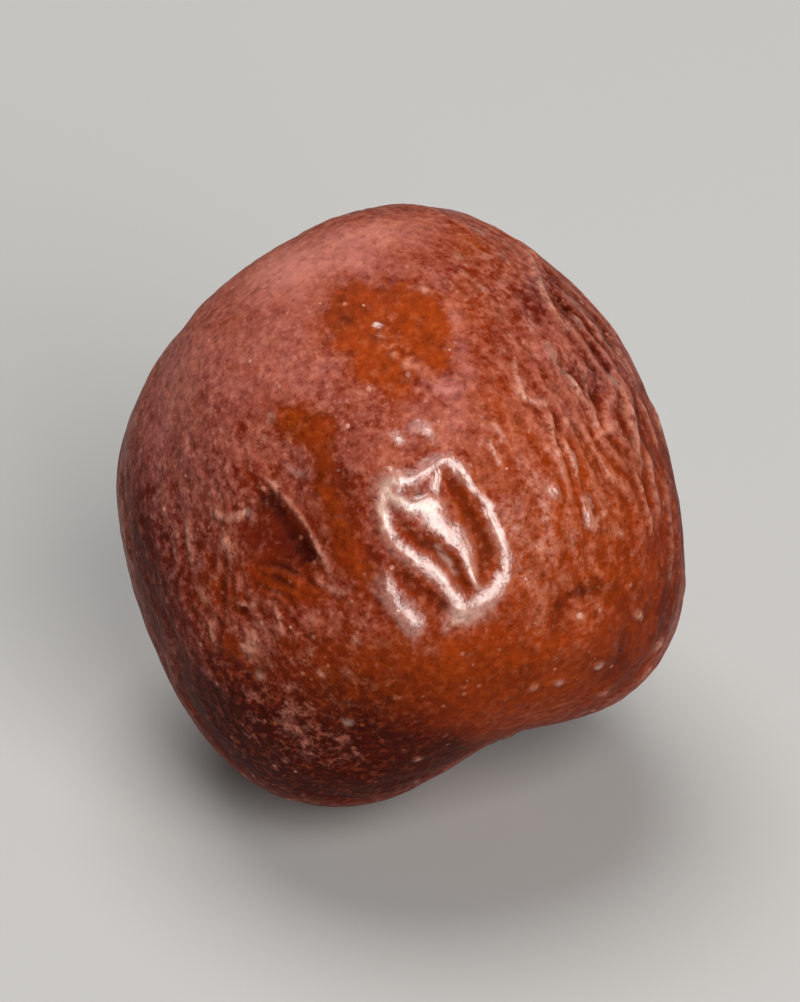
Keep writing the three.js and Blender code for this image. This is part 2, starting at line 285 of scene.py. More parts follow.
STROKES = [
    # the glossy knot of ridges in the middle: its outer ring, the ridge through it and the cells between
    (knot((170, 374), (146, 466), (160, 568), (186, 656), (245, 732), (314, 780), (385, 815), (440, 855), (490, 901), (536, 968), (576, 1026), (618, 1062)), 0.17, (0.26, 0.40), 2.8, "gloss"),
    (knot((618, 1062), (680, 1042), (738, 1005), (790, 938), (820, 870), (838, 800), (816, 740), (778, 650), (736, 560), (704, 480)), 0.17, (0.38, 0.27), 2.8, "gloss"),
    (knot((704, 480), (660, 420), (602, 360), (556, 300), (518, 248)), 0.13, (0.27, 0.20), 2.6, "gloss"),
    (knot((518, 248), (455, 262), (398, 305), (342, 345), (260, 358), (174, 368)), 0.14, (0.21, 0.30), 2.6, "gloss"),
    (knot((182, 414), (258, 474), (332, 504), (397, 520), (450, 578), (508, 628)), 0.19, (0.38, 0.50), 2.8, "gloss"),
    (knot((508, 630), (562, 672), (610, 735), (622, 795), (642, 862), (672, 930), (712, 992)), 0.18, (0.48, 0.15), 2.8, "gloss"),
    (knot((398, 522), (440, 462), (452, 365), (458, 275)), 0.09, 0.19, 2.4, "gloss"),
    (knot((335, 502), (396, 494), (440, 538)), 0.17, 0.48, 2.8, "gloss"),
    (knot((575, 1052), (620, 1076), (662, 1062)), 0.16, 0.46, 2.8, "gloss"),
    (knot((455, 584), (508, 630), (562, 670)), 0.18, 0.48, 2.8, "gloss"),
    (knot((152, 455), (156, 398), (200, 366)), 0.15, 0.34, 2.8, "gloss"),
    (knot((478, 259), (518, 250), (545, 286)), 0.13, 0.20, 2.8, "gloss"),
    (knot((680, 450), (704, 480), (725, 522)), 0.14, 0.27, 2.8, "gloss"),
    (knot((140, 858), (170, 956), (222, 1034), (284, 1106), (336, 1172), (362, 1222)), 0.24, (0.37, 0.42), 2.8, "gloss"),
    (knot((570, 1105), (495, 1160), (420, 1195)), 0.08, 0.18, 2.0, ""),
    (knot((300, 95), (350, 72), (400, 92), (430, 140)), 0.12, 0.24, 2.4, "gloss"),
    (knot((235, 135), (262, 140)), 0.14, 0.25, 2.4, "gloss"),
    (knot((240, 190), (330, 215), (420, 190)), -0.08, 0.26, 2.0, ""),
    (knot((1278, 470), (1284, 585)), 0.15, 0.24, 2.6, "gloss"),
    (knot((1100, 425), (1108, 440)), 0.13, 0.20, 2.4, "gloss"),
    (knot((510, 330), (572, 450), (632, 560), (694, 680), (722, 790), (714, 900)), -0.21, 0.25, 2.0, ""),
    (knot((245, 590), (330, 660), (430, 730), (520, 800), (580, 890), (640, 990)), -0.19, 0.20, 2.0, ""),
    (knot((270, 430), (350, 440), (420, 420)), -0.14, 0.17, 2.0, ""),
    (knot((250, 860), (340, 940), (430, 1010), (520, 1075)), -0.22, 0.24, 2.0, ""),
    (knot((90, 700), (110, 850), (130, 980)), -0.10, 0.34, 2.0, ""),
    # the furrow on the left and the crease beside it
    (fp((478, 715), (510, 745), (545, 780), (572, 818), (592, 855), (612, 895), (625, 925)), 0.098, 0.11, 2.4, "pale"),
    (fp((480, 745), (520, 795), (552, 848), (585, 905)), -0.13, 0.30, 2.0, ""),
    (fp((640, 690), (655, 760), (668, 830)), -0.08, 0.30, 2.0, ""),
    (fp((375, 792), (410, 806), (440, 792), (458, 785)), 0.090, 0.13, 2.2, "pale"),
    (fp((398, 826), (408, 856), (424, 886)), 0.098, (0.19, 0.22), 2.4, "pale"),
    (fp((326, 800), (328, 850), (336, 905)), 0.075, 0.11, 2.2, "pale"),
    (fp((345, 935), (356, 965), (372, 985)), 0.075, 0.12, 2.2, "pale"),
    (fp((366, 1010), (374, 1040), (384, 1064)), 0.090, 0.11, 2.2, "pale"),
    (fp((508, 972), (514, 1006), (522, 1045)), 0.090, 0.11, 2.4, "pale"),
    (fp((430, 975), (452, 985), (470, 970)), 0.068, 0.10, 2.2, "pale"),
    (fp((440, 900), (470, 930), (520, 945), (575, 962)), 0.09, 0.14, 2.0, ""),
    (fp((470, 905), (520, 915), (560, 930)), 0.07, 0.11, 2.0, ""),
    (fp((455, 945), (500, 962), (560, 985)), 0.07, 0.12, 2.0, ""),
    (fp((450, 920), (500, 932), (560, 945)), -0.08, 0.11, 2.0, ""),
    (fp((462, 912), (520, 930), (580, 968)), -0.10, 0.09, 2.0, ""),
    (fp((458, 928), (510, 952), (560, 990)), -0.09, 0.09, 2.0, ""),
    (fp((468, 896), (530, 905), (600, 948)), -0.09, 0.09, 2.0, ""),
    (fp((410, 985), (440, 995), (455, 985)), -0.13, 0.15, 2.0, ""),
    (fp((470, 1035), (455, 1065), (470, 1090)), 0.068, 0.38, 2.6, "pale"),
    (fp((405, 1060), (430, 1068)), 0.08, 0.28, 2.4, ""),
    (fp((476, 1122), (480, 1128)), 0.14, 0.17, 2.2, "gloss"),
    (fp((425, 900), (395, 950), (405, 1010)), -0.08, 0.22, 2.0, ""),
    (fp((595, 930), (640, 952), (670, 948)), 0.068, 0.12, 2.2, "pale"),
    (fp((300, 640), (340, 700), (345, 760)), 0.05, 0.24, 2.0, ""),
    (fp((530, 690), (552, 712), (580, 716)), 0.11, 0.17, 2.4, "gloss"),
    (fp((500, 595), (506, 602)), 0.12, 0.17, 2.2, "gloss"),
    (fp((482, 640), (488, 648)), 0.075, 0.13, 2.2, "pale"),
    (fp((450, 790), (456, 794)), 0.10, 0.16, 2.2, "gloss"),
    # long fine wrinkles down the right side
    (fp((1028, 245), (1042, 285), (1055, 323), (1075, 366), (1100, 401), (1123, 421)), 0.112, 0.12, 2.3, "pale"),
    (fr((178, 425), (202, 485), (242, 545), (282, 590), (322, 645), (345, 695), (372, 745), (395, 785)), 0.105, 0.11, 2.3, "pale"),
    (fr((395, 785), (430, 770), (455, 745)), 0.083, 0.10, 2.2, "pale"),
    (fr((35, 478), (45, 560), (72, 640), (130, 664), (180, 650)), 0.090, 0.12, 2.2, "pale"),
    (fr((255, 700), (244, 765), (248, 832), (268, 892), (292, 972)), 0.112, 0.11, 2.3, "pale"),
    (fr((178, 690), (186, 790), (216, 868), (232, 952)), 0.105, 0.11, 2.3, "pale"),
    (fr((438, 545), (488, 602), (508, 680), (532, 724), (545, 800)), 0.098, 0.11, 2.2, "pale"),
    (fr((530, 900), (548, 980), (572, 1062), (592, 1135), (600, 1210)), 0.098, 0.11, 2.2, "pale"),
    (fr((580, 850), (602, 950), (625, 1052), (640, 1140)), 0.083, 0.11, 2.2, "pale"),
    (fr((660, 960), (676, 1100), (690, 1250), (680, 1400)), 0.090, 0.12, 2.2, "pale"),
    (fr((560, 620), (600, 740), (640, 860)), 0.090, 0.10, 2.2, "pale"),
    (fr((460, 400), (520, 500), (560, 600)), 0.083, 0.10, 2.2, "pale"),
    (fr((300, 250), (350, 320), (410, 400)), 0.090, 0.09, 2.2, "pale"),
    (fp((1066, 452), (1072, 472)), 0.17, 0.20, 2.4, "gloss"),
    (fp((1098, 503), (1112, 520)), 0.14, 0.16, 2.4, "gloss"),
    (fp((1117, 672), (1122, 690)), 0.14, 0.14, 2.4, "gloss"),
    (fp((1202, 515), (1210, 525)), 0.13, 0.16, 2.4, "gloss"),
    (fr((200, 190), (232, 240), (268, 290)), -0.15, 0.15, 2.0, ""),
    (fp((1072, 268), (1086, 300), (1104, 334)), -0.14, 0.20, 2.0, ""),
    (fr((380, 280), (430, 345), (470, 420)), -0.15, 0.14, 2.0, ""),
    (fr((215, 700), (215, 800), (240, 880)), -0.13, 0.12, 2.0, ""),
    (fr((300, 500), (340, 580), (390, 680)), -0.12, 0.15, 2.0, ""),
    (fr((560, 900), (585, 1000), (605, 1100)), -0.11, 0.12, 2.0, ""),
    (fp((1082, 478), (1100, 500)), -0.12, 0.13, 2.0, ""),
    (fr((345, 1175), (372, 1145), (405, 1105)), 0.075, 0.10, 2.2, "pale"),
    (fr((90, 1040), (75, 1120), (60, 1180)), 0.09, 0.12, 2.2, ""),
    (fr((420, 1250), (440, 1340), (430, 1420)), 0.07, 0.14, 2.0, ""),
    (fr((500, 1180), (520, 1290), (560, 1400)), 0.08, 0.14, 2.0, ""),
    (fp((930, 598), (975, 642), (962, 722), (1000, 800)), 0.06, 0.14, 2.0, ""),
    (fp((958, 615), (972, 640)), 0.083, 0.14, 2.3, "pale"),
    (fp((945, 650), (962, 690)), 0.068, 0.12, 2.3, "pale"),
    (fp((802, 505), (842, 470), (898, 462), (915, 415), (893, 366)), 0.06, 0.18, 2.0, ""),
    (fp((905, 480), (935, 560), (925, 640)), 0.05, 0.15, 2.0, ""),
    (fp((1220, 560), (1250, 640), (1262, 720)), 0.060, 0.14, 2.0, "pale"),
    (fp((1255, 440), (1290, 540), (1312, 640)), 0.060, 0.12, 2.0, "pale"),
    (fp((1300, 660), (1330, 780), (1338, 900)), 0.08, 0.15, 2.0, ""),
    (fp((1190, 640), (1200, 720), (1215, 800)), 0.05, 0.18, 2.0, ""),
    # the shallow round dimple at the lower right
    (fp((1072, 1030), (1090, 985), (1125, 952), (1175, 945)), -0.07, 0.30, 2.0, ""),
    (fp((1195, 970), (1212, 1010), (1200, 1060)), 0.06, 0.24, 2.0, ""),
    (fp((1130, 1010), (1150, 1030)), 0.08, 0.9, 2.4, ""),
    # small bumps with a waxy top: some glossy, some with a pale top of wax that is partly a painted highlight
    (fp((1172, 1108), (1176, 1112)), 0.11, 0.16, 2.2, "gloss"),
    (fp((1085, 1142), (1095, 1144)), 0.12, 0.17, 2.2, "gloss"),
    (fp((1184, 1170), (1190, 1174)), 0.068, 0.14, 2.2, "pale"),
    (fp((1035, 1150), (1044, 1156)), 0.053, 0.13, 2.2, "pale"),
    (fp((672, 1050), (680, 1054)), 0.068, 0.14, 2.2, "pale"),
    (fp((700, 1000), (708, 1004)), 0.075, 0.14, 2.2, "pale"),
    (fp((650, 1118), (658, 1122)), 0.068, 0.14, 2.2, "pale"),
    (fp((655, 1222), (668, 1220)), 0.10, 0.17, 2.2, "gloss"),
    (fp((580, 1078), (586, 1084)), 0.060, 0.13, 2.2, "pale"),
    (fp((598, 1118), (604, 1122)), 0.060, 0.12, 2.2, "pale"),
    (fp((798, 1300), (802, 1304)), 0.053, 0.12, 2.2, "pale"),
    (fp((1018, 1272), (1030, 1270)), 0.060, 0.14, 2.2, "pale"),
    (fp((1252, 1000), (1258, 1010)), 0.060, 0.13, 2.2, "pale"),
    (fp((1300, 1068), (1308, 1078)), 0.075, 0.14, 2.2, "pale"),
    (fp((1276, 1120), (1284, 1132)), 0.075, 0.14, 2.2, "pale"),
    (fp((1225, 1196), (1236, 1194)), 0.060, 0.14, 2.2, "pale"),
    (fp((975, 262), (982, 268)), 0.10, 0.16, 2.2, "gloss"),
    (fp((922, 206), (930, 210)), 0.09, 0.16, 2.2, "gloss"),
    (fp((895, 300), (902, 306)), 0.068, 0.13, 2.2, "pale"),
    (fp((930, 330), (936, 334)), 0.09, 0.14, 2.2, "gloss"),
    (fp((880, 262), (886, 270)), 0.068, 0.13, 2.2, "pale"),
    (fp((940, 262), (948, 266)), 0.060, 0.13, 2.2, "pale"),
    (fp((815, 336), (822, 342)), 0.060, 0.13, 2.2, "pale"),
    (fp((716, 410), (722, 414)), 0.09, 0.15, 2.2, "gloss"),
    (fp((722, 432), (728, 436)), 0.060, 0.12, 2.2, "pale"),
    (fp((750, 470), (756, 476)), 0.060, 0.12, 2.2, "pale"),
    (fp((775, 490), (781, 495)), 0.068, 0.13, 2.2, "pale"),
    (fp((1048, 256), (1056, 262)), 0.068, 0.13, 2.2, "pale"),
    (fp((1130, 395), (1142, 400)), 0.11, 0.15, 2.2, "gloss"),
    (fp((1168, 405), (1176, 412)), 0.075, 0.12, 2.2, "pale"),
    (fp((1030, 412), (1034, 420)), 0.060, 0.12, 2.2, "pale"),
    (fp((1075, 748), (1082, 752)), 0.10, 0.15, 2.2, "gloss"),
    (fp((1215, 832), (1222, 838)), 0.060, 0.13, 2.2, "pale"),
    (fp((1165, 820), (1172, 824)), 0.053, 0.12, 2.2, "pale"),
]


def near_line(points, pts):
    """Distance from each point to a line of points, how far along it, and its whole length. It works in two or three dimensions."""
    pts = np.array(pts)
    seg = np.linalg.norm(np.diff(pts, axis=0), axis=1)
    run = np.concatenate([[0], np.cumsum(seg)])
    best, at = np.full(len(points), 1e9), np.zeros(len(points))
    for i in range(len(seg)):
        a, ab = pts[i], pts[i + 1] - pts[i]
        t = np.clip((points - a) @ ab / max(seg[i] ** 2, 1e-12), 0, 1)
        dist = np.linalg.norm(points - a - t[:, None] * ab, axis=1)
        less = dist < best
        best[less] = dist[less]
        at[less] = (run[i] + t * seg[i])[less]
    return best, at, run[-1]


def onto_skin(pts):
    """Front-plane points as a smooth line of points on the fruit, at most about half a millimetre apart."""
    p = np.array(pts, float)
    p = np.concatenate([[2 * p[0] - p[1]], p, [2 * p[-1] - p[-2]]])
    fine = []
    for i in range(1, len(p) - 2):
        n = max(1, int(math.ceil(np.linalg.norm(p[i + 1] - p[i]) / 0.45)))
        for t in np.arange(n) / n:
            fine.append(
                0.5 * (2 * p[i] + (p[i + 1] - p[i - 1]) * t + (2 * p[i - 1] - 5 * p[i] + 4 * p[i + 1] - p[i + 2]) * t**2
                + (3 * p[i] - p[i - 1] - 3 * p[i + 1] + p[i + 2]) * t**3)
            )
    fine.append(p[-2])
    fine = np.array(fine)
    xy2 = (fine**2).sum(1)
    z = np.sqrt(np.maximum(MEAN_R**2 - xy2, 1.0))
    for _ in range(25):
        r = base_radius(unit(fine[:, :1] * RIGHT + fine[:, 1:] * UP + z[:, None] * FRONT))
        z = 0.5 * z + 0.5 * np.sqrt(np.maximum(r**2 - xy2, 1.0))
    return fine[:, :1] * RIGHT + fine[:, 1:] * UP + z[:, None] * FRONT, float(np.mean(z) / MEAN_R)


def stroke_relief(D, P0):
    """Height of the listed ridges at each direction in mm, the depth of the creases, and how glossy or pale the ridges'
    tops are.
    """
    z = D @ FRONT
    wob = np.stack([fbm(P0 * 1.1, 901, 2), fbm(P0 * 1.1 + 40, 907, 2), fbm(P0 * 1.1 + 80, 911, 2)], 1) * 0.10
    moved = P0 + wob
    rough = 1 + 0.34 * fbm(P0 * 0.9 + 9, 915, 2)
    thick = 1 + 0.50 * fbm(P0 * 1.1 + 19, 917, 2)
    broken = np.clip(0.88 + 0.9 * fbm(P0 * 1.5 + 29, 921, 2), 0.34, 1.3)
    up_h, down_h, shiny, pale = (np.zeros(len(D)) for _ in range(4))
    front = z > 0.02
    for pts, height, width, power, kind in STROKES:
        w0, w1 = width if isinstance(width, tuple) else (width, width)
        if len(pts) == 2 and math.dist(*pts) < 0.3:   # a dot, kept nearly round
            pts = [pts[0], tuple(a + 0.3 * (b - a) for a, b in zip(*pts))]
        line3, turn = onto_skin(pts)
        # a ridge near the outline is drawn as it looks from the front, so on the skin it is wider
        w0, w1 = (w / max(turn, 0.3) ** 0.6 for w in (w0, w1))
        reach = 3.2 * max(w0, w1)
        near = front & np.all((moved > line3.min(0) - reach) & (moved < line3.max(0) + reach), axis=1)
        if not near.any():
            continue
        best, at, whole = near_line(moved[near], line3)
        w = (w0 + (w1 - w0) * at / whole) * thick[near]
        taper = 1.0 if whole < 1.2 else smooth(0, 0.9, at + 0.25) * smooth(0, 0.9, whole - at + 0.25)
        form = np.exp(-((best / w) ** power) * 0.8) * taper
        # the right side's wrinkles stand higher, and a little those on the left
        lift = 1.0 if kind == "gloss" else 1.45 if pts[0][0] > 3.5 else 1.25 if pts[0][0] < -4 else 1.0
        h = abs(height) * lift * form * (broken[near] if kind == "pale" else rough[near])
        if height > 0:
            up_h[near] = np.maximum(up_h[near], h)
        else:
            down_h[near] = np.maximum(down_h[near], h)
        if kind == "gloss":
            shiny[near] = np.maximum(shiny[near], np.exp(-((best / (0.92 * w)) ** 2)) * taper)
        if kind == "pale":
            pale[near] = np.maximum(pale[near], form * broken[near])
    fade = smooth(0.02, 0.2, z)
    return up_h * fade, down_h * fade, shiny * fade, pale * fade


# ---------------------------------------------------------------------------
# The skin mesh
# ---------------------------------------------------------------------------
SIDE_STEPS = 126


def cube_sphere(n):
    """Directions of a sphere made of six square faces, its quads, and each corner's place on a 3 by 2 sheet."""
    t = np.tan(np.linspace(-math.pi / 4, math.pi / 4, n + 1))
    a, b = np.meshgrid(t, t, indexing="xy")
    one = np.ones_like(a)
    faces = [(one, a, b), (-one, -a, b), (-a, one, b), (a, -one, b), (-b, a, one), (b, a, -one)]
    pts, quads, uvs = [], [], []
    idx = np.arange((n + 1) ** 2).reshape(n + 1, n + 1)
    quad = np.stack([idx[:-1, :-1], idx[:-1, 1:], idx[1:, 1:], idx[1:, :-1]], -1).reshape(-1, 4)
    g = np.linspace(0, 1, n + 1)
    gu, gv = np.meshgrid(g, g, indexing="xy")
    pad = 0.012
    for k, (x, y, z) in enumerate(faces):
        pts.append(np.stack([x, y, z], -1).reshape(-1, 3))
        quads.append(quad + k * (n + 1) ** 2)
        cu, cv = k % 3, k // 3
        uv = np.stack([(cu + pad + (1 - 2 * pad) * gu) / 3, (cv + pad + (1 - 2 * pad) * gv) / 2], -1).reshape(-1, 2)
        uvs.append(uv)
    pts = unit(np.concatenate(pts))
    quads = np.concatenate(quads)
    uvs = np.concatenate(uvs)[quads]
    _, first, back = np.unique(np.round(pts, 6), axis=0, return_index=True, return_inverse=True)
    back = back.reshape(-1)
    return pts[first], back[quads], uvs


# The sheet's faces are turned with the fruit, so that no join crosses the middle of the front.
D, quads, sheet = cube_sphere(SIDE_STEPS)
D = unit(D @ np.stack([unit(RIGHT * 0.8 + FRONT * 0.6), UP, unit(FRONT * 0.8 - RIGHT * 0.6)]))


def gather(D, centre, times):
    """Draws directions together round centre, times as close there and as much wider apart behind."""
    c = D @ centre
    t = D - c[:, None] * centre
    n = np.linalg.norm(t, axis=1)
    half = n / np.maximum(1 + c, 1e-9) / times
    co = np.where(n > 1e-7, (1 - half**2) / (1 + half**2), np.sign(c))
    si = np.where(n > 1e-7, 2 * half / (1 + half**2), 0)
    return unit(centre * co[:, None] + t / np.maximum(n, 1e-9)[:, None] * si[:, None])


# The knot of fine ridges on the front takes smaller faces than the back does.
D = gather(D, from_front((0.10, 0.0, 1.0)), 1.4)
R0 = base_radius(D)
P0 = D * R0[:, None]
phi, lam, q, cos_axis = polar(bent(D))
front = D @ FRONT
fx, fy = P0 @ RIGHT, P0 @ UP

# Where the wrinkles run: warped so that they wander off the meridians.
warp1, warp2 = fbm(P0 * 0.16, 11, 2), fbm(P0 * 0.16 + 31, 12, 2)
lam_w = lam + 0.22 * warp1 + 0.05 * fbm(P0 * 0.5, 13, 2)
phi_w = phi + 0.20 * warp2 + 0.05 * fbm(P0 * 0.5 + 7, 14, 2)

cells = buckled(21, 4.3, 2.0, -1.0, across=0.25)
folds = buckled(22, 2.0, 2.3, -0.8, across=0.35)
fines = buckled(23, 1.15, 2.6, 0.0, across=0.8, steps=140)
net_long = buckled(24, 1.45, 2.3, -0.9, across=0.30)
net_round = buckled(25, 1.05, 1.25, -0.9, across=0.05)

away = smooth(2.6, 7.0, q)                      # nothing long-waved in the end hollows
patchy = smooth(-0.35, 0.45, fbm(P0 * 0.13 + 3, 41, 2))
patchy2 = smooth(-0.3, 0.4, fbm(P0 * 0.17 + 13, 43, 2))

# The front is smoother at the top and bottom; its own ridges are listed one by one.
drawn = smooth(-0.25, 0.55, front)
quiet_top = np.exp(-(((fx + 2.0) / 6.5) ** 2 + ((fy - 9.0) / 5.0) ** 2))
quiet_low = np.exp(-(((fx - 1.5) / 7.0) ** 2 + ((fy + 7.5) / 3.6) ** 2))

ribbed = np.exp(-(((fx - 8.3) / 3.2) ** 2 + ((fy - 4.0) / 8.0) ** 2)) * smooth(-0.1, 0.3, front)   # the right side

quiet_left = np.maximum(
    np.exp(-(((fx + 8.0) / 5.5) ** 2 + ((fy - 8.0) / 6.5) ** 2)), np.exp(-(((fx + 5.0) / 6.5) ** 2 + ((fy - 10.5) / 5.5) ** 2))
) * smooth(-0.45, -0.05, front)
amp_cells = 0.20 * (1 - 0.88 * quiet_left) * away * (0.35 + 0.65 * patchy) * (1 - 0.80 * drawn)
amp_folds = 0.080 * away * (0.30 + 0.70 * patchy2) * (1 - 0.72 * drawn) * (1 - 0.6 * quiet_top) * (1 - 0.8 * quiet_left) + 0.030 * ribbed
amp_fines = 0.022 * smooth(4.5, 8.5, q) * (0.4 + 0.6 * patchy) * (1 - 0.35 * drawn) + 0.018 * ribbed

c1 = sample(cells, phi_w, lam_w)
c2 = sample(folds, phi_w + 0.06 * warp1, lam_w * 1.0 + 0.06 * warp2)
c3 = sample(fines, phi_w + 0.03 * warp2, lam_w)
relief = amp_cells * c1 + amp_folds * c2 + amp_fines * c3
# finer nets of wrinkles: long cells on the right, round ones on the left, a little of both behind
crinkled = np.exp(-(((fx + 7.6) / 5.0) ** 2 + ((fy + 1.5) / 7.0) ** 2)) * smooth(-0.1, 0.3, front) * (1 - 0.7 * quiet_left)   # the left side
hollow = np.exp(-((((fx + 5.3) * 0.80 - (fy + 1.3) * 0.60) / 1.1) ** 2 + (((fx + 5.3) * 0.60 + (fy + 1.3) * 0.80) / 1.9) ** 2) ** 1.5) * smooth(0, 0.3, front)   # the furrow
crinkled = crinkled * (1 - 0.85 * hollow)
c4 = sample(net_long, phi_w + 0.05 * warp2, lam_w + 0.04 * warp1)
c5 = sample(net_round, phi_w + 0.04 * warp1, lam_w)
behind = (1 - drawn) * away
net = c4 * np.clip(ribbed + 0.40 * behind * patchy2, 0, 1) + c5 * np.clip(crinkled + 0.30 * behind * patchy, 0, 1)
relief += 0.060 * c4 * np.clip(ribbed + 0.40 * behind * patchy2, 0, 1) + 0.050 * c5 * np.clip(crinkled + 0.30 * behind * patchy, 0, 1)

# Fine radial puckers round the stem bowl and, fewer, round the stylar end.
pucker = np.sin(17 * lam + 2.2 * fbm(P0 * 0.45 + 5, 51, 2) * 2.0) * 0.6 + 0.4 * np.sin(29 * lam + 3 * warp1)
ring_band = smooth(2.7, 3.8, q) * (1 - smooth(5.5, 9.5, q))
relief += pucker * ring_band * (1 - 0.85 * smooth(-0.35, 0.0, front)) * np.where(cos_axis > 0, 0.085, 0.0)
tip_pucker = np.sin(13 * lam + 3.0 * fbm(P0 * 0.5 + 25, 52, 2))
relief += tip_pucker * smooth(0.9, 2.2, q) * (1 - smooth(3.5, 7.0, q)) * np.where(cos_axis > 0, 0.0, 0.05)

# Soft unevenness all over, and the listed ridges.
relief += 0.055 * fbm(P0 * 0.42, 61, 3)
relief += (0.026 + 0.022 * crinkled + 0.010 * ribbed - 0.012 * quiet_top) * fbm(P0 * 1.25, 64, 2)
relief += 0.10 * np.exp(-((((fx - 1.9) / 2.9) ** 2 + ((fy - 0.1) / 4.2) ** 2) ** 1.5)) * smooth(0.3, 0.6, front)
crest, groove, shiny, pale = stroke_relief(D, P0)
relief += crest - groove

# A small lean and break in the ring of the stem, so that it isn't lathe-turned.
stem_side = (cos_axis > 0) & (q < 5)
ring_wob = 0.16 * fbm(P0 * 0.8 + 71, 71, 2) + 0.05 * fbm(P0 * 2.4 + 71, 72, 2)
ring_worn = smooth(0.05, -0.45, fbm(P0 * 0.42 + 171, 171, 2))
ring_wob = ring_wob - 0.14 * ring_worn
relief += np.where(stem_side, ring_wob * np.exp(-(((q - SCAR_R) / 0.9) ** 2)), 0)

P = D * (R0 + relief)[:, None]
h = P[:, 2] - FLOOR_Z
P[:, 2] = np.where(h < 0, 0, np.where(h < FLAT_BLEND, h * h * (2 * FLAT_BLEND - h) / FLAT_BLEND**2, h))
P[:, 0] -= MID_X
P[:, 1] -= MID_Y

mesh = bpy.data.meshes.new("jujube_skin")
n_v, n_f = len(P), len(quads)
mesh.vertices.add(n_v)
mesh.vertices.foreach_set("co", (P * 0.001).astype(np.float32).ravel())
mesh.loops.add(n_f * 4)
mesh.loops.foreach_set("vertex_index", quads.astype(np.int32).ravel())
mesh.polygons.add(n_f)
mesh.polygons.foreach_set("loop_start", np.arange(0, n_f * 4, 4, dtype=np.int32))
mesh.polygons.foreach_set("loop_total", np.full(n_f, 4, dtype=np.int32))
mesh.polygons.foreach_set("use_smooth", np.ones(n_f, dtype=bool))
mesh.update(calc_edges=True)
mesh.validate()
# faces outward
va = P[quads[:, 0]]
nrm = np.cross(P[quads[:, 1]] - va, P[quads[:, 2]] - va)
if (nrm * (va - P.mean(0))).sum() < 0:
    mesh.flip_normals()
uvl = mesh.uv_layers.new(name="OFBake")
skin = bpy.data.objects.new("jujube_skin", mesh)
bpy.context.scene.collection.objects.link(skin)
# corners may have been turned round, so each is matched by its vertex
order = np.empty(n_f * 4, dtype=np.int32)
mesh.loops.foreach_get("vertex_index", order)
order = order.reshape(-1, 4)
uv_out = np.empty((n_f, 4, 2), dtype=np.float32)
for k in range(4):
    hit = order[:, k][:, None] == quads
    uv_out[:, k] = sheet[np.arange(n_f), hit.argmax(1)]
uvl.data.foreach_set("uv", uv_out.ravel())


def put(name, values, kind="FLOAT"):
    at = mesh.attributes.new(name, kind, "POINT")
    at.data.foreach_set("vector" if kind == "FLOAT_VECTOR" else "value", np.asarray(values, np.float32).ravel())


# Places on the front for the colours, made to wander so that no patch is a clean oval.
bx = fx + 0.36 * fbm(P0 * 0.5 + 3, 201, 3) + 0.22 * fbm(P0 * 1.6 + 3, 211, 2)
by = fy + 0.36 * fbm(P0 * 0.5 + 53, 202, 3) + 0.22 * fbm(P0 * 1.6 + 53, 212, 2)
seen = smooth(0.02, 0.35, front)


def blob(x, y, rx, ry, turn=0.0, power=2.0):
    """A soft patch on the front, at a place on the same drawing as the ridges."""
    cx, cy = (x - 766) / 47.04, (784 - y) / 47.04
    co, si = math.cos(turn * RAD), math.sin(turn * RAD)
    u = ((bx - cx) * co + (by - cy) * si) / (rx / 47.04)
    v = (-(bx - cx) * si + (by - cy) * co) / (ry / 47.04)
    return np.exp(-np.hypot(u, v) ** power) * seen


def line(half, *pts):
    """A soft stripe on the front."""
    out = np.zeros(len(D))
    arr = np.array(fp(*pts))
    lo, hi = arr.min(0) - 3 * half, arr.max(0) + 3 * half
    near = (front > 0.02) & (bx > lo[0]) & (bx < hi[0]) & (by > lo[1]) & (by < hi[1])
    dist, _, _ = near_line(np.stack([bx[near], by[near]], 1), arr)
    out[near] = np.exp(-((dist / half) ** 2))
    return out * seen


# --- masks for the colours ---
n1, n2, n3 = fbm(P0 * 0.12 + 81, 81, 3), fbm(P0 * 0.22 + 82, 85, 3), fbm(P0 * 0.6 + 83, 89, 3)
n4, n5 = fbm(P0 * 0.24 + 182, 185, 3), fbm(P0 * 0.17 + 95, 95, 3)
back_w = 1 - smooth(0.0, 0.45, front)
up_face = (P0 @ np.array([0, 0, 1.0])) / MEAN_R
bump_r = np.clip(relief, -0.12, 0.12)
fold_r = c2 * np.clip(amp_folds / 0.06, 0, 1) * 0.6 + c3 * np.clip(amp_fines / 0.025, 0, 1) * 0.5


def both(behind, ahead, lo=0.0, hi=1.0):
    """A mask that is one thing on the front and another behind it."""
    return np.clip(behind * back_w + ahead * (1 - back_w), lo, hi)


tufts, stains = fbm(P0 * 1.3 + 411, 411, 3), fbm(P0 * 0.9 + 433, 433, 3)
ragged = np.clip(0.84 + 1.0 * fbm(P0 * 1.1 + 303, 303, 3), 0.35, 1.4)   # breaks up the streaks

# Patches where the skin shows through orange-brown
orange = (
    1.00 * smooth(0.18, 0.80, blob(748, 432, 136, 116, -14, 3) + 0.9 * tufts * blob(748, 432, 190, 165, -14)) * blob(748, 432, 165, 142, -14, 6)
    + 0.70 * blob(658, 395, 44, 62, 8, 4)
    + 0.20 * blob(838, 428, 34, 62, -10, 4)
    - 0.40 * blob(748, 398, 26, 28)
    - 0.85 * ragged * line(0.42, (752, 440), (809, 500), (869, 552))
    - 0.34 * ragged * line(0.34, (874, 379), (890, 430), (896, 514))
    + 0.08 * blob(972, 535, 34, 80, -10, 3)
    + 0.90 * blob(566, 612, 60, 38, -5, 3)
    + 0.60 * line(0.50, (604, 660), (622, 740), (640, 820), (668, 880), (690, 925))
    + 0.60 * blob(525, 930, 70, 32, -12)
    + 0.45 * blob(430, 1075, 40, 40)
    + 0.30 * blob(390, 930, 50, 90)
)
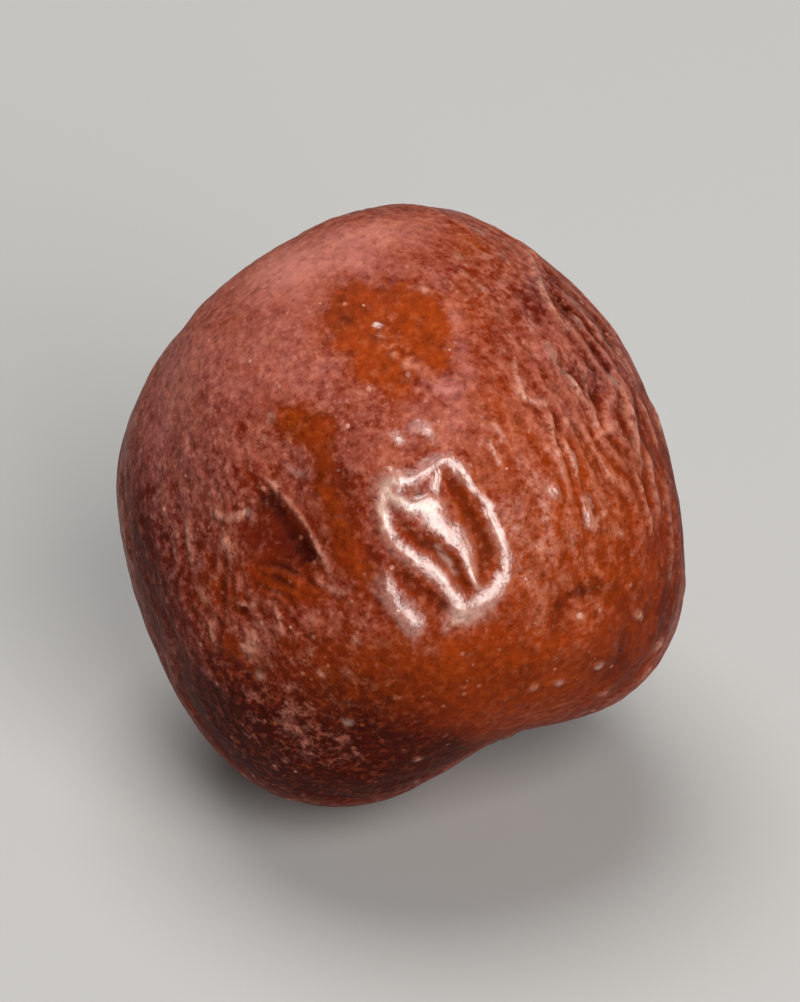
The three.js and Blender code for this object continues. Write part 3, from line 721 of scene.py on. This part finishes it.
warmth = (
    0.32 * blob(965, 590, 55, 110)
    + 0.34 * blob(1090, 900, 270, 330, 0, 3)
    + 0.35 * blob(1150, 720, 110, 130)
    + 0.35 * blob(900, 380, 60, 120)
    + 0.30 * blob(920, 230, 110, 50, -15)
    + 0.62 * blob(930, 1130, 340, 95, 3, 3)
    + 0.35 * blob(640, 1120, 120, 120)
    + 0.35 * blob(1240, 950, 80, 80)
    + 0.30 * blob(880, 860, 130, 150)
    + 0.25 * blob(1090, 880, 120, 180)
)
# darker skin in patches, and painted shade along the bottom, at the left and right edges and along the dimple's upper
# rim
dark_skin_and_shade = (
    0.60 * blob(700, 1330, 380, 95, -8, 3)
    + 0.26 * blob(1328, 1010, 34, 120, 8, 3)
    + 0.30 * blob(190, 900, 60, 300, -6, 3)
    + 0.30 * blob(330, 1210, 120, 130, -40, 3)
    + 0.18 * blob(1345, 850, 40, 280, 0, 3)
    + 0.26 * blob(1288, 640, 30, 80, -12)
    + 0.50 * blob(1085, 302, 28, 40, -30)
    + 0.14 * blob(670, 1120, 130, 90)
    + 0.31 * blob(508, 838, 92, 68, -28, 3)
    + 0.45 * blob(560, 890, 48, 52, 20)
    + 0.28 * blob(652, 392, 40, 56, 10, 3)
    + 0.26 * line(0.5, (596, 670), (622, 740), (640, 820), (668, 880))
    + 0.20 * blob(1225, 1070, 80, 70, 0)
    + 0.34 * blob(1150, 510, 60, 100, -28)
    + 0.30 * blob(490, 765, 36, 44)
    + 0.35 * blob(238, 985, 70, 200, -10)
    + 0.75 * blob(400, 1240, 170, 140, -30)
    + 0.85 * blob(640, 1375, 330, 85, -6, 3)
    + 0.50 * blob(850, 1290, 230, 55, -22)
    + 0.30 * blob(700, 1230, 150, 60)
    + 0.22 * blob(1036, 352, 34, 52, 0, 3)
    + 0.45 * blob(1108, 372, 26, 52, -32)
    + 0.35 * blob(1160, 405, 40, 30, -40)
    + 0.24 * blob(1350, 760, 34, 330)
    + 0.30 * blob(1255, 590, 26, 90, -15)
    + 0.22 * line(0.34, (1072, 1030), (1092, 985), (1125, 955), (1172, 946))
    + 0.16 * line(0.7, (1210, 965), (1245, 985), (1300, 985))
    + 0.25 * blob(1225, 1120, 90, 60, -25)
    + 0.30 * blob(930, 1140, 330, 80, 3, 3)
    + 0.16 * blob(640, 1150, 130, 120)
    + 0.14 * blob(1240, 1010, 60, 80)
    + 0.34 * blob(562, 612, 70, 40)
    + 0.30 * blob(640, 700, 30, 60)
)
purple = (
    0.55 * blob(1036, 352, 32, 50, 0, 3)
    + 0.45 * blob(235, 960, 80, 230, -10)
    + 0.60 * blob(400, 1230, 150, 150, -30)
    + 0.62 * blob(1330, 1060, 34, 140, 20, 3)
    + 0.35 * blob(1165, 510, 55, 95, -28)
    + 0.30 * blob(210, 760, 50, 160)
    + 0.25 * blob(600, 1330, 150, 70)
)
waxy = (
    0.50 * blob(630, 250, 240, 58, 14)
    + 0.20 * blob(480, 330, 170, 85, 35)
    + 0.30 * blob(430, 480, 200, 150, -40)
    - 0.12 * blob(400, 350, 90, 70, -40) - 0.12 * blob(640, 262, 110, 34, 14)
    + 0.16 * blob(720, 195, 140, 34, 5) + 0.18 * blob(700, 290, 150, 26, -6) + 0.18 * blob(556, 350, 50, 56, 20)
    + 0.18 * blob(560, 500, 90, 70)
    + 0.20 * blob(245, 640, 95, 200, -8)
    + 0.20 * blob(400, 690, 90, 70)
    + 0.26 * line(0.62, (845, 320), (880, 420), (895, 520), (868, 610))
    + 0.24 * ragged * line(0.34, (874, 372), (890, 440), (896, 500))
    + 0.40 * ragged * line(0.40, (752, 440), (809, 500), (858, 545))
    + 0.10 * blob(972, 540, 40, 80)
    + 0.09 * blob(640, 252, 260, 62, 14)
    + 0.14 * blob(1060, 450, 50, 70)
    + 0.12 * blob(250, 600, 60, 80)
    + 0.14 * blob(450, 905, 70, 40)
    + 0.16 * blob(1045, 280, 80, 70)
    - 0.14 * blob(425, 675, 60, 50)
    + 0.17 * blob(1080, 700, 190, 240, 0, 3)
    + 0.14 * blob(270, 540, 110, 170)
    + 0.10 * blob(330, 800, 70, 70)
    + 0.14 * blob(400, 1000, 60, 60)
    + 0.10 * blob(1150, 1010, 60, 50)
    - 0.08 * blob(630, 255, 90, 30, 14)
    + 0.20 * blob(830, 620, 120, 70)
    + 0.12 * blob(700, 690, 90, 60)
    + 0.22 * blob(1175, 520, 42, 85, -28)
    + 0.16 * blob(1090, 620, 36, 80)
    + 0.14 * blob(1140, 1010, 55, 55)
    + 0.15 * blob(1040, 900, 60, 160)
    + 0.15 * blob(470, 1060, 34, 34)
)

put("bloom", both(
    # behind: paler wax towards the top, a painted light from above
    0.20 + 0.34 * n1 + 0.24 * n2 + 0.10 * up_face + 0.9 * bump_r + 0.10 * fold_r + 0.16 * net,
    # on the front: less pale wax along the bottom and at the left and right edges, a painted shade
    0.19 + waxy - 0.66 * np.clip(orange, 0, 0.9) + (0.17 + 1.1 * tufts) * blob(748, 432, 120, 100, -14, 4) + 0.4 * tufts * blob(520, 1240, 300, 140, -10) + 0.5 * tufts * blob(900, 1150, 330, 90) - 0.22 * warmth - 0.28 * dark_skin_and_shade - 0.10 * purple - 0.12 * blob(1300, 850, 60, 260)
    - 0.44 * blob(1250, 1090, 115, 100) - 0.16 * blob(850, 1150, 330, 80, 3) - 0.46 * blob(880, 1275, 230, 60, -14)
    - 0.12 * blob(700, 1370, 320, 50, -8, 3) + 0.28 * blob(560, 1262, 260, 115, 8) - 0.26 * blob(340, 1230, 110, 110, -40)
    - 0.26 * blob(185, 900, 60, 300) - 0.06 * blob(1338, 850, 40, 260) - 0.30 * blob(1288, 640, 34, 90, -12) - 0.16 * blob(1305, 1000, 50, 90)
    + 0.06 * n2 + 0.12 * n3 + 0.5 * bump_r + 0.12 * fold_r * ribbed + 0.24 * net - 0.14 * hollow,
    -0.26,
))
put("warm", both(
    0.40 + 0.60 * n4 + 0.2 * n1 - 0.08 * fold_r,
    0.26 + orange + warmth - 0.25 * blob(260, 800, 150, 420) - 0.12 * dark_skin_and_shade + 0.12 * n3,
))
# darker in the hollows of the relief and in the valleys of the folds and nets of wrinkles: a painted shade
put("dark", both(
    0.20 + 0.55 * n5 - 1.0 * bump_r - 0.20 * fold_r - 0.20 * net,
    0.04 + dark_skin_and_shade + 0.6 * stains * blob(735, 425, 125, 105, -14, 4) + 0.10 * n3 - 1.0 * bump_r - 0.16 * fold_r * ribbed - 0.26 * net,
))
put("purple", both(
    # behind: less dark purple towards the top, a painted light from above
    0.18 + 0.55 * fbm(P0 * 0.14 + 195, 197, 3) - 0.15 * up_face,
    0.02 + purple + 0.08 * n3,
))
# how far hair-fine ribs and pale specks show
put("ribs", both(
    0.34 + 0.5 * n2 + 0.2 * n1,
    0.10 + 0.75 * ribbed + 0.30 * blob(920, 230, 120, 60) + 0.20 * n2 - 0.10 * quiet_top,
) * smooth(3.2, 6.0, q))
put("dusty", both(
    0.40 + 0.45 * n4,
    0.22
    + 0.40 * blob(330, 820, 170, 330)
    + 0.60 * blob(480, 1200, 280, 170, -20)
    + 0.25 * blob(700, 560, 160, 150)
    + 0.40 * blob(940, 260, 140, 90)
    + 0.10 * blob(1290, 1100, 90, 110)
    + 0.20 * blob(1110, 560, 150, 250, -20)
    - 0.22 * blob(650, 270, 220, 80, 14)
    - 0.15 * blob(960, 600, 60, 80)
    - 0.60 * hollow
    + 0.15 * n3,
))
put("gloss", both(
    0.16 + 0.35 * fbm(P0 * 0.18 + 60, 99, 2) + 1.2 * bump_r + 0.10 * fold_r + 0.24 * net,
    0.05
    + 0.10 * blob(1010, 300, 120, 110, 30)
    + 0.06 * blob(740, 430, 120, 110)
    + 0.09 * blob(900, 860, 200, 240)
    - 0.24 * blob(725, 395, 170, 150, -12, 4)
    - 0.16 * blob(850, 1210, 420, 170, -6, 4)
    - 0.12 * blob(300, 1100, 190, 260, 20)
    - 0.10 * blob(1300, 1050, 90, 120)
    + 0.16 * ribbed * (0.5 + fold_r) + 0.30 * net
    - 0.20 * blob(190, 900, 70, 330) - 0.12 * blob(500, 1290, 420, 120, -8, 3) - 0.10 * blob(1345, 850, 50, 300)
    + 1.45 * shiny + 0.35 * pale - 2.0 * groove
    - 0.95 * blob(925, 745, 24, 42, -30) - 0.70 * blob(986, 944, 20, 22) - 0.20 * blob(738, 815, 14, 28),
    -0.35,
))
put("fine", both(
    1.0 + 0 * fx,
    1.0 - 0.70 * quiet_top + 0.60 * crinkled + 0.35 * ribbed - 0.75 * hollow + 0.50 * blob(560, 1240, 320, 140, -10) + 0.30 * blob(900, 600, 110, 130)
    + 0.35 * blob(1000, 300, 110, 90) + 0.30 * blob(740, 430, 120, 100) - 0.35 * blob(1080, 700, 80, 90) - 0.35 * blob(1295, 800, 55, 140),
    0.2, 2.1,
))
put("crinkle", both(
    0.26 + 0 * fx,
    0.30 - 0.10 * quiet_top - 0.20 * hollow + 0.10 * blob(980, 300, 120, 110) - 0.14 * blob(850, 1130, 300, 80) - 0.16 * blob(1250, 1080, 110, 110) - 0.16 * blob(850, 1290, 260, 60, -14) + 0.14 * blob(740, 430, 120, 100) + 0.14 * blob(500, 1200, 260, 120) - 0.08 * blob(520, 860, 80, 90),
))
put("crest", np.clip(shiny, 0, 1))
# a painted highlight: pale streaks along the knot's left corner and spots on its brightest ridge tops
put("dried", np.clip(
    0.95 * line(0.17, (768, 724), (744, 727), (732, 742), (729, 770), (732, 800), (736, 822))
    + 0.90 * line(0.17, (736, 752), (756, 769), (780, 783))
    + 0.45 * line(0.20, (862, 1020), (884, 1006))
    + 0.50 * blob(812, 782, 24, 18) + 0.40 * line(0.16, (843, 860), (872, 905)) + 0.35 * blob(896, 1000, 26, 20),
    0, 1,
))
put("pale", np.clip(np.maximum(pale, 0.55 * smooth(0.22, 0.70, net)) * (1 - 0.60 * blob(1332, 800, 34, 220)), 0, 1))
put("groove", np.clip(groove / 0.16, 0, 1))
put("fold", np.clip(0.5 + 0.5 * fold_r, 0, 1))

at_tip = D @ TIP
qt = MEAN_R * np.sqrt(np.clip(1 - at_tip**2, 0, 1))
put("ring", np.where(cos_axis > 0, np.exp(-(((q - SCAR_R + 0.30 * fbm(P0 * 0.55, 77, 3)) / (0.40 - 0.14 * ring_worn)) ** 2)) * (1 - 0.60 * ring_worn), 0))
put("pit", np.where(cos_axis > 0, 1 - smooth(SCAR_R - 0.55, SCAR_R - 0.1, q), 0))
stub = np.where(cos_axis > 0, 1 - smooth(STUB_R * 0.95, STUB_R * 1.3, q), 0)
put("stub", np.maximum(stub, np.where(at_tip > 0, 1 - smooth(0.3, 0.55, qt), 0)))
put("rim", np.where(cos_axis > 0, smooth(2.2, 2.9, q) * (1 - smooth(3.2, 6.8, q)), np.where(at_tip > 0, 0.5 * (1 - smooth(1.0, 4.0, qt)), 0)))
put("skin_mm", np.stack([P0 @ SIDE, P0 @ SIDE2, P0 @ AXIS], 1), "FLOAT_VECTOR")
# across and along the fruit, for what runs from end to end
put("rib_mm", np.stack([MEAN_R * np.cos(lam_w), MEAN_R * np.sin(lam_w), 0.34 * MEAN_R * phi_w], 1), "FLOAT_VECTOR")

# ---------------------------------------------------------------------------
# The skin's material
# ---------------------------------------------------------------------------
mat = bpy.data.materials.new("jujube_skin")
mat.use_nodes = True
nt = mat.node_tree
nt.nodes.clear()


def node(kind, **kw):
    n = nt.nodes.new(kind)
    for k, v in kw.items():
        setattr(n, k, v)
    return n


def feed(sock, v):
    if isinstance(v, bpy.types.NodeSocket):
        nt.links.new(v, sock)
    else:
        sock.default_value = v


def attr(name, vec=False):
    return node("ShaderNodeAttribute", attribute_name=name).outputs["Vector" if vec else "Fac"]


def m(op, a, b=None, c=None, clamp=False):
    n = node("ShaderNodeMath", operation=op, use_clamp=clamp)
    feed(n.inputs[0], a)
    if b is not None:
        feed(n.inputs[1], b)
    if c is not None:
        feed(n.inputs[2], c)
    return n.outputs[0]


def plus(*terms):
    """Sum of (socket, factor, middle) terms and plain numbers."""
    total = None
    for t in terms:
        if isinstance(t, tuple):
            v, k = t[0], t[1]
            if len(t) > 2:
                v = m("SUBTRACT", v, t[2])
            v = m("MULTIPLY", v, k)
        else:
            v = t
        total = v if total is None else m("ADD", total, v)
    return total


def clamp01(v):
    return m("ADD", v, 0.0, clamp=True)


def span(v, a, b, c=0.0, d=1.0):
    n = node("ShaderNodeMapRange", clamp=True, interpolation_type="SMOOTHSTEP")
    feed(n.inputs["Value"], v)
    n.inputs["From Min"].default_value = a
    n.inputs["From Max"].default_value = b
    n.inputs["To Min"].default_value = c
    n.inputs["To Max"].default_value = d
    return n.outputs["Result"]


def mix(fac, a, b):
    n = node("ShaderNodeMix", data_type="RGBA")
    feed(n.inputs["Factor"], fac)
    feed(n.inputs[6], a)
    feed(n.inputs[7], b)
    return n.outputs[2]


def noise(vec, scale, detail=2.0, rough=0.5, dist=0.0, kind="FBM"):
    n = node("ShaderNodeTexNoise", noise_type=kind)
    feed(n.inputs["Vector"], vec)
    n.inputs["Scale"].default_value = scale
    n.inputs["Detail"].default_value = detail
    n.inputs["Roughness"].default_value = rough
    n.inputs["Distortion"].default_value = dist
    return n.outputs["Fac"]


def noise_vec(vec, scale, detail=2.0):
    n = node("ShaderNodeTexNoise")
    feed(n.inputs["Vector"], vec)
    n.inputs["Scale"].default_value = scale
    n.inputs["Detail"].default_value = detail
    return n.outputs["Color"]


def voronoi(vec, scale, feature="F1", rand=1.0):
    n = node("ShaderNodeTexVoronoi", feature=feature)
    feed(n.inputs["Vector"], vec)
    n.inputs["Scale"].default_value = scale
    n.inputs["Randomness"].default_value = rand
    return n.outputs["Distance"]


def dots(shift, scale, small, large, *amount):
    """Round soft dots, each with its own size between small and large in cells; the amount decides how many there are."""
    n = node("ShaderNodeTexVoronoi", feature="F1")
    feed(n.inputs["Vector"], vmath("ADD", pos, shift))
    n.inputs["Scale"].default_value = scale
    parts = node("ShaderNodeSeparateColor")
    nt.links.new(n.outputs["Color"], parts.inputs[0])
    size = plus((parts.outputs[0], large - small), small)
    body = span(m("DIVIDE", n.outputs["Distance"], size), 0.45, 1.0, 1.0, 0.0)
    there = span(plus((parts.outputs[1], 1.0), *amount), 0.78, 0.98)
    return m("MULTIPLY", body, there)


def vmath(op, a, b):
    n = node("ShaderNodeVectorMath", operation=op)
    feed(n.inputs[0], a)
    feed(n.inputs[1], b)
    return n.outputs[0]


def rgb(r, g, b):
    """sRGB 0..255 to the linear colour the sockets take."""
    f = lambda c: (c / 255 / 12.92) if c / 255 <= 0.04045 else ((c / 255 + 0.055) / 1.055) ** 2.4
    return (f(r), f(g), f(b), 1.0)


pos, rib = attr("skin_mm", vec=True), attr("rib_mm", vec=True)
bloom_a, warm_a, dark_a, purple_a = attr("bloom"), attr("warm"), attr("dark"), attr("purple")
ribs_a, dusty_a, gloss_a, crest_a, pale_a, groove_a = attr("ribs"), attr("dusty"), attr("gloss"), attr("crest"), attr("pale"), attr("groove")
ring_a, pit_a, stub_a, rim_a = attr("ring"), attr("pit"), attr("stub"), attr("rim")

mottle = noise(pos, 0.55, 4, 0.6, 0.6)
mottle2 = noise(pos, 1.5, 3, 0.62, 0.5)
mottle3 = noise(vmath("ADD", pos, (31.0, 7.0, 3.0)), 1.1, 4, 0.65, 0.4)
grain = noise(pos, 3.2, 3, 0.68)
tiny = noise(pos, 7.5, 2, 0.6)

# hair-fine ribs that run from end to end: thin crests where the noise crosses its middle
rib_n = noise(rib, 0.62, 3, 0.55, 0.8)
rib_line = span(m("ABSOLUTE", m("SUBTRACT", rib_n, 0.5)), 0.0, 0.075, 1.0, 0.0)
rib_f = clamp01(m("MULTIPLY", rib_line, plus(ribs_a, (mottle3, 1.4, 0.5))))

warm_f = clamp01(plus(warm_a, (mottle, 1.2, 0.5), (mottle2, 0.9, 0.5)))
# darker in the grooves: a painted shade
dark_f = clamp01(plus(dark_a, (mottle2, 1.0, 0.5), (mottle3, 0.6, 0.5), (groove_a, 0.34), (m("MULTIPLY", ribs_a, m("SUBTRACT", rib_n, 0.5)), -1.2)))
purple_f = clamp01(plus(purple_a, (mottle3, 1.0, 0.5), (mottle, 0.4, 0.5)))
col = mix(warm_f, rgb(108, 30, 11), rgb(148, 54, 7))
col = mix(purple_f, col, rgb(92, 26, 19))
col = mix(dark_f, col, rgb(57, 11, 4))

# bloom: a thin grey-pink wax, broken up by fine grain
bloom_f = clamp01(plus(bloom_a, (grain, 0.85, 0.5), (mottle2, 1.15, 0.5), (mottle3, 0.75, 0.5), (tiny, 0.30, 0.5), (groove_a, -0.30)))
bloom_f = m("MULTIPLY", bloom_f, 0.88)
col = mix(bloom_f, col, mix(purple_f, mix(warm_f, rgb(188, 109, 98), rgb(190, 106, 70)), rgb(164, 98, 93)))

# specks of wax: pink among the bloom, brown where it's worn off
wax = mix(span(bloom_a, -0.15, 0.25), rgb(172, 74, 40), rgb(212, 142, 126))
# lighter and darker crinkles that follow the fine bump: a painted shade in its dips, and on its tops a lighter wax that
# is partly a painted highlight
half_mm = noise(pos, 2.5, 2, 0.55)
some = attr("crinkle")
col = mix(m("MULTIPLY", span(half_mm, 0.50, 0.28), some), col, rgb(62, 16, 8))
col = mix(m("MULTIPLY", span(half_mm, 0.50, 0.74), some), col, mix(warm_f, wax, mix(0.5, wax, rgb(206, 108, 52))))
# the palest wax
col = mix(span(bloom_a, 0.45, 1.0, 0.0, 0.34), col, rgb(208, 140, 128))

# pale crests: pale wax on the hair-fine ribs; on the ridges a paler top of wax that is partly a painted highlight; on
# the knot's ridges a painted highlight
col = mix(m("MULTIPLY", m("MULTIPLY", rib_f, span(grain, 0.35, 0.6)), 0.16), col, rgb(204, 134, 110))
col = mix(clamp01(m("MULTIPLY", m("MULTIPLY", pale_a, span(grain, 0.30, 0.62, 0.25, 1.0)), 0.55)), col, rgb(218, 150, 124))
col = mix(m("MULTIPLY", crest_a, span(grain, 0.3, 0.7, 0.06, 0.32)), col, rgb(216, 162, 140))

# a painted highlight on the knot's left corner and its brightest ridge tops
col = mix(m("MULTIPLY", attr("dried"), span(grain, 0.30, 0.60, 0.35, 0.80)), col, rgb(232, 196, 178))

# raised dots of dried wax, no two of a size, and a faint dust
speck = dots((0.0, 0.0, 0.0), 0.80, 0.05, 0.17, (noise(pos, 0.7, 2, 0.5), 1.6, 0.5), (dusty_a, 0.45))
speck2 = dots((5.1, 2.3, 9.7), 1.65, 0.08, 0.30, (mottle2, 1.5, 0.5), (dusty_a, 0.60))
dust = span(plus(grain, (tiny, 0.5, 0.5), (dusty_a, 0.16, 0.4)), 0.56, 0.80)
pit_dark = span(plus(grain, (tiny, 0.5, 0.5)), 0.44, 0.26)
col = mix(m("MULTIPLY", pit_dark, 0.30), col, rgb(66, 17, 8))
col = mix(m("MULTIPLY", dust, 0.26), col, wax)
col = mix(m("MULTIPLY", speck2, 0.34), col, mix(0.5, wax, rgb(216, 146, 118)))
col = mix(m("MULTIPLY", speck, 0.54), col, rgb(224, 160, 132))

# stem end: grey bloomed zone, pale ring, tan pit and stub
col = mix(m("MULTIPLY", rim_a, span(mottle2, 0.25, 0.75, 0.30, 0.75)), col, rgb(142, 100, 92))
ring_f = clamp01(m("MULTIPLY", ring_a, span(grain, 0.30, 0.62, 0.35, 1.0)))
col = mix(ring_f, col, rgb(210, 184, 162))
col = mix(m("MULTIPLY", pit_a, 0.85), col, mix(span(mottle2, 0.35, 0.65), rgb(88, 38, 16), rgb(156, 82, 32)))
col = mix(stub_a, col, mix(span(grain, 0.35, 0.65), rgb(62, 40, 26), rgb(166, 128, 90)))

bsdf = node("ShaderNodeBsdfPrincipled")
out = node("ShaderNodeOutputMaterial")
nt.links.new(bsdf.outputs[0], out.inputs["Surface"])
feed(bsdf.inputs["Base Color"], col)

rough = plus(0.46, (bloom_f, 0.20), (gloss_a, -0.16), (groove_a, 0.20), (grain, 0.25, 0.5), (rib_f, -0.10), (speck, -0.10))
rough = plus(rough, (m("MAXIMUM", ring_a, m("MAXIMUM", pit_a, stub_a)), 0.25))
feed(bsdf.inputs["Roughness"], m("MINIMUM", m("MAXIMUM", rough, 0.18), 0.85))
bsdf.inputs["IOR"].default_value = 1.45
bsdf.inputs["Specular IOR Level"].default_value = 0.04
feed(bsdf.inputs["Coat Weight"], clamp01(plus(-0.08, gloss_a, (mottle2, 0.5, 0.5), (grain, 0.6, 0.5), (speck, 0.50), (speck2, 0.35), (rib_f, 0.12), (groove_a, -0.3), (bloom_f, -0.06))))
bsdf.inputs["Coat Roughness"].default_value = 0.31
bsdf.inputs["Coat IOR"].default_value = 2.2
bsdf.inputs["Sheen Weight"].default_value = 0.0
bsdf.inputs["Sheen Roughness"].default_value = 0.16
bsdf.inputs["Sheen Tint"].default_value = (1.0, 0.88, 0.84, 1.0)
bsdf.inputs["Subsurface Weight"].default_value = 0.05
bsdf.inputs["Subsurface Radius"].default_value = (1.0, 0.28, 0.14)
bsdf.inputs["Subsurface Scale"].default_value = 0.0008

# fine relief: ribs, hair-fine wrinkles along the fruit, grain and specks; the knot's tops stay smooth
hair = noise(rib, 2.4, 4, 0.62, 0.9)
calm = m("MULTIPLY", span(crest_a, 0.1, 0.9, 1.0, 0.30), attr("fine"))
height = m("MULTIPLY", plus((hair, 0.034), (half_mm, 0.050), (grain, 0.036), (tiny, 0.010), (rib_f, 0.014), (pit_dark, -0.014)), calm)
height = plus(height, (speck, 0.034), (speck2, 0.024))
bump = node("ShaderNodeBump")
bump.inputs["Strength"].default_value = 1.0
bump.inputs["Distance"].default_value = 0.001
feed(bump.inputs["Height"], height)
feed(bsdf.inputs["Normal"], bump.outputs[0])
feed(bsdf.inputs["Coat Normal"], bump.outputs[0])

mesh.materials.append(mat)

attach(skin, "root")
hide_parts("jujube")

# ---------------------------------------------------------------------------
# Floor, light and camera
# ---------------------------------------------------------------------------
scene = bpy.context.scene
scene.view_settings.view_transform = "Standard"
scene.view_settings.look = "None"
scene.view_settings.exposure = 0.0

bpy.ops.mesh.primitive_circle_add(vertices=96, radius=2.4, fill_type="NGON", location=(0, 0, 0))
floor = bpy.context.object
floor.name = "floor"
fmat = bpy.data.materials.new("floor")
fmat.use_nodes = True
fb = fmat.node_tree.nodes["Principled BSDF"]
fb.inputs["Base Color"].default_value = (0.47, 0.466, 0.457, 1)
fb.inputs["Roughness"].default_value = 0.75
fb.inputs["Specular IOR Level"].default_value = 0.25
floor.data.materials.append(fmat)

world = bpy.data.worlds.new("soft_room")
scene.world = world
world.use_nodes = True
# a little light from all round; the camera sees a pale wall of the floor's own tone behind it
wt = world.node_tree
bg = wt.nodes["Background"]
bg.inputs["Color"].default_value = (0.93, 0.95, 1.0, 1)
bg.inputs["Strength"].default_value = 0.07
wall = wt.nodes.new("ShaderNodeBackground")
wall.inputs["Color"].default_value = (0.98, 0.985, 1.0, 1)
wall.inputs["Strength"].default_value = 0.37
either = wt.nodes.new("ShaderNodeMixShader")
wt.links.new(wt.nodes.new("ShaderNodeLightPath").outputs["Is Camera Ray"], either.inputs[0])
wt.links.new(bg.outputs[0], either.inputs[1])
wt.links.new(wall.outputs[0], either.inputs[2])
wt.links.new(either.outputs[0], wt.nodes["World Output"].inputs["Surface"])

target = Vector((0, 0, 0.013))


def lamp(name, v, dist, size, watts, colour=(1, 1, 1), size_y=None):
    """A soft rectangle of light in the direction v, given as right, up and front of the camera."""
    d = Vector(from_front(v))
    data = bpy.data.lights.new(name, "AREA")
    data.shape = "RECTANGLE" if size_y else "SQUARE"
    data.size = size
    if size_y:
        data.size_y = size_y
    data.energy = watts
    data.color = colour
    ob = bpy.data.objects.new(name, data)
    ob.location = target + d * dist
    ob.rotation_euler = (-d).to_track_quat("-Z", "Y").to_euler()
    scene.collection.objects.link(ob)
    return ob


lamp("key", (0.37, 0.09, 0.92), 1.44, 0.86, 23.2, (1.0, 0.98, 0.95), 1.27)
lamp("left", (-0.85, 0.30, 0.35), 0.45, 0.22, 0.02, (0.95, 0.97, 1.0))
# overhead light, the same over the whole floor
overhead = bpy.data.lights.new("overhead", "SUN")
overhead.energy = 2.1
overhead.angle = 0.70
overhead.color = (1.0, 0.99, 0.97)
lid = bpy.data.objects.new("overhead", overhead)
lid.rotation_euler = (-Vector(from_front((-0.12, 0.93, 0.25)))).to_track_quat("-Z", "Y").to_euler()
scene.collection.objects.link(lid)

cam_data = bpy.data.cameras.new("camera")
cam = bpy.data.objects.new("camera", cam_data)
scene.collection.objects.link(cam)
cam_data.lens = 240
cam_data.sensor_width = 36
back = Vector(FRONT)
aim = Vector((0, 0, 0.0131))
cam.location = aim + back * 0.300
cam.rotation_euler = (-back).to_track_quat("-Z", "Y").to_euler()
cam_data.clip_start, cam_data.clip_end = 0.01, 10
scene.camera = cam
